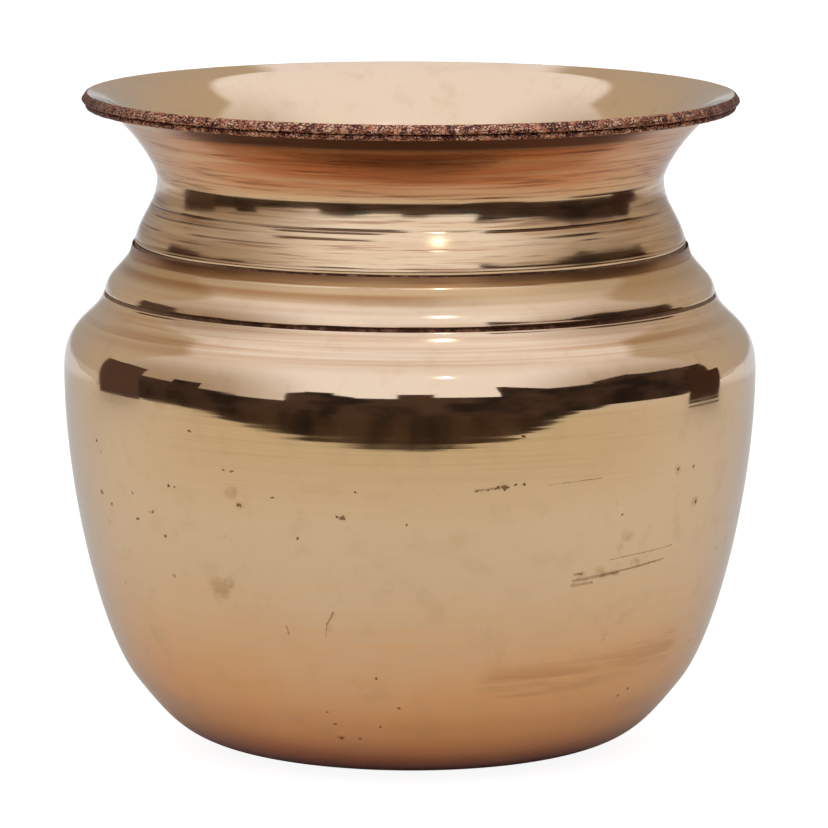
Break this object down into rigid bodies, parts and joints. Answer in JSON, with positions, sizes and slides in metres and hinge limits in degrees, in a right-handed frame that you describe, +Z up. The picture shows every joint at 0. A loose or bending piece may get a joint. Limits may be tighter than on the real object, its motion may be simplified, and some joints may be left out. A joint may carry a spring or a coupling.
{
  "type": "lota",
  "caption": "Round-bellied water pot of polished copper alloy with a stepped collar, waisted neck and flared mouth, brazed from turned sheets.",
  "frame": {"origin": "centre of the base, on the surface that the pot stands on", "axes": "+Z up along the pot's axis of rotation, towards the mouth; +X to the right in the picture, which looks along +Y"},
  "size_m": [0.1056, 0.1056, 0.1],
  "materials": {
    "polished_alloy": "polished copper alloy with fine turning marks, pits and stains",
    "rough_rim": "rough, unpolished, dark in its pits",
    "brazing_metal": "dull brazing metal, dark with flux in the creases"
  },
  "bodies": {
    "root": {"lower_bowl": "polished_alloy", "belly_braze": "brazing_metal", "shoulder_shell": "polished_alloy", "shoulder_braze": "brazing_metal", "collar_ring": "polished_alloy", "collar_braze": "brazing_metal", "neck_mouth": "polished_alloy", "rim_wire": "rough_rim", "rim_braze": "brazing_metal"}
  },
  "joints": []
}
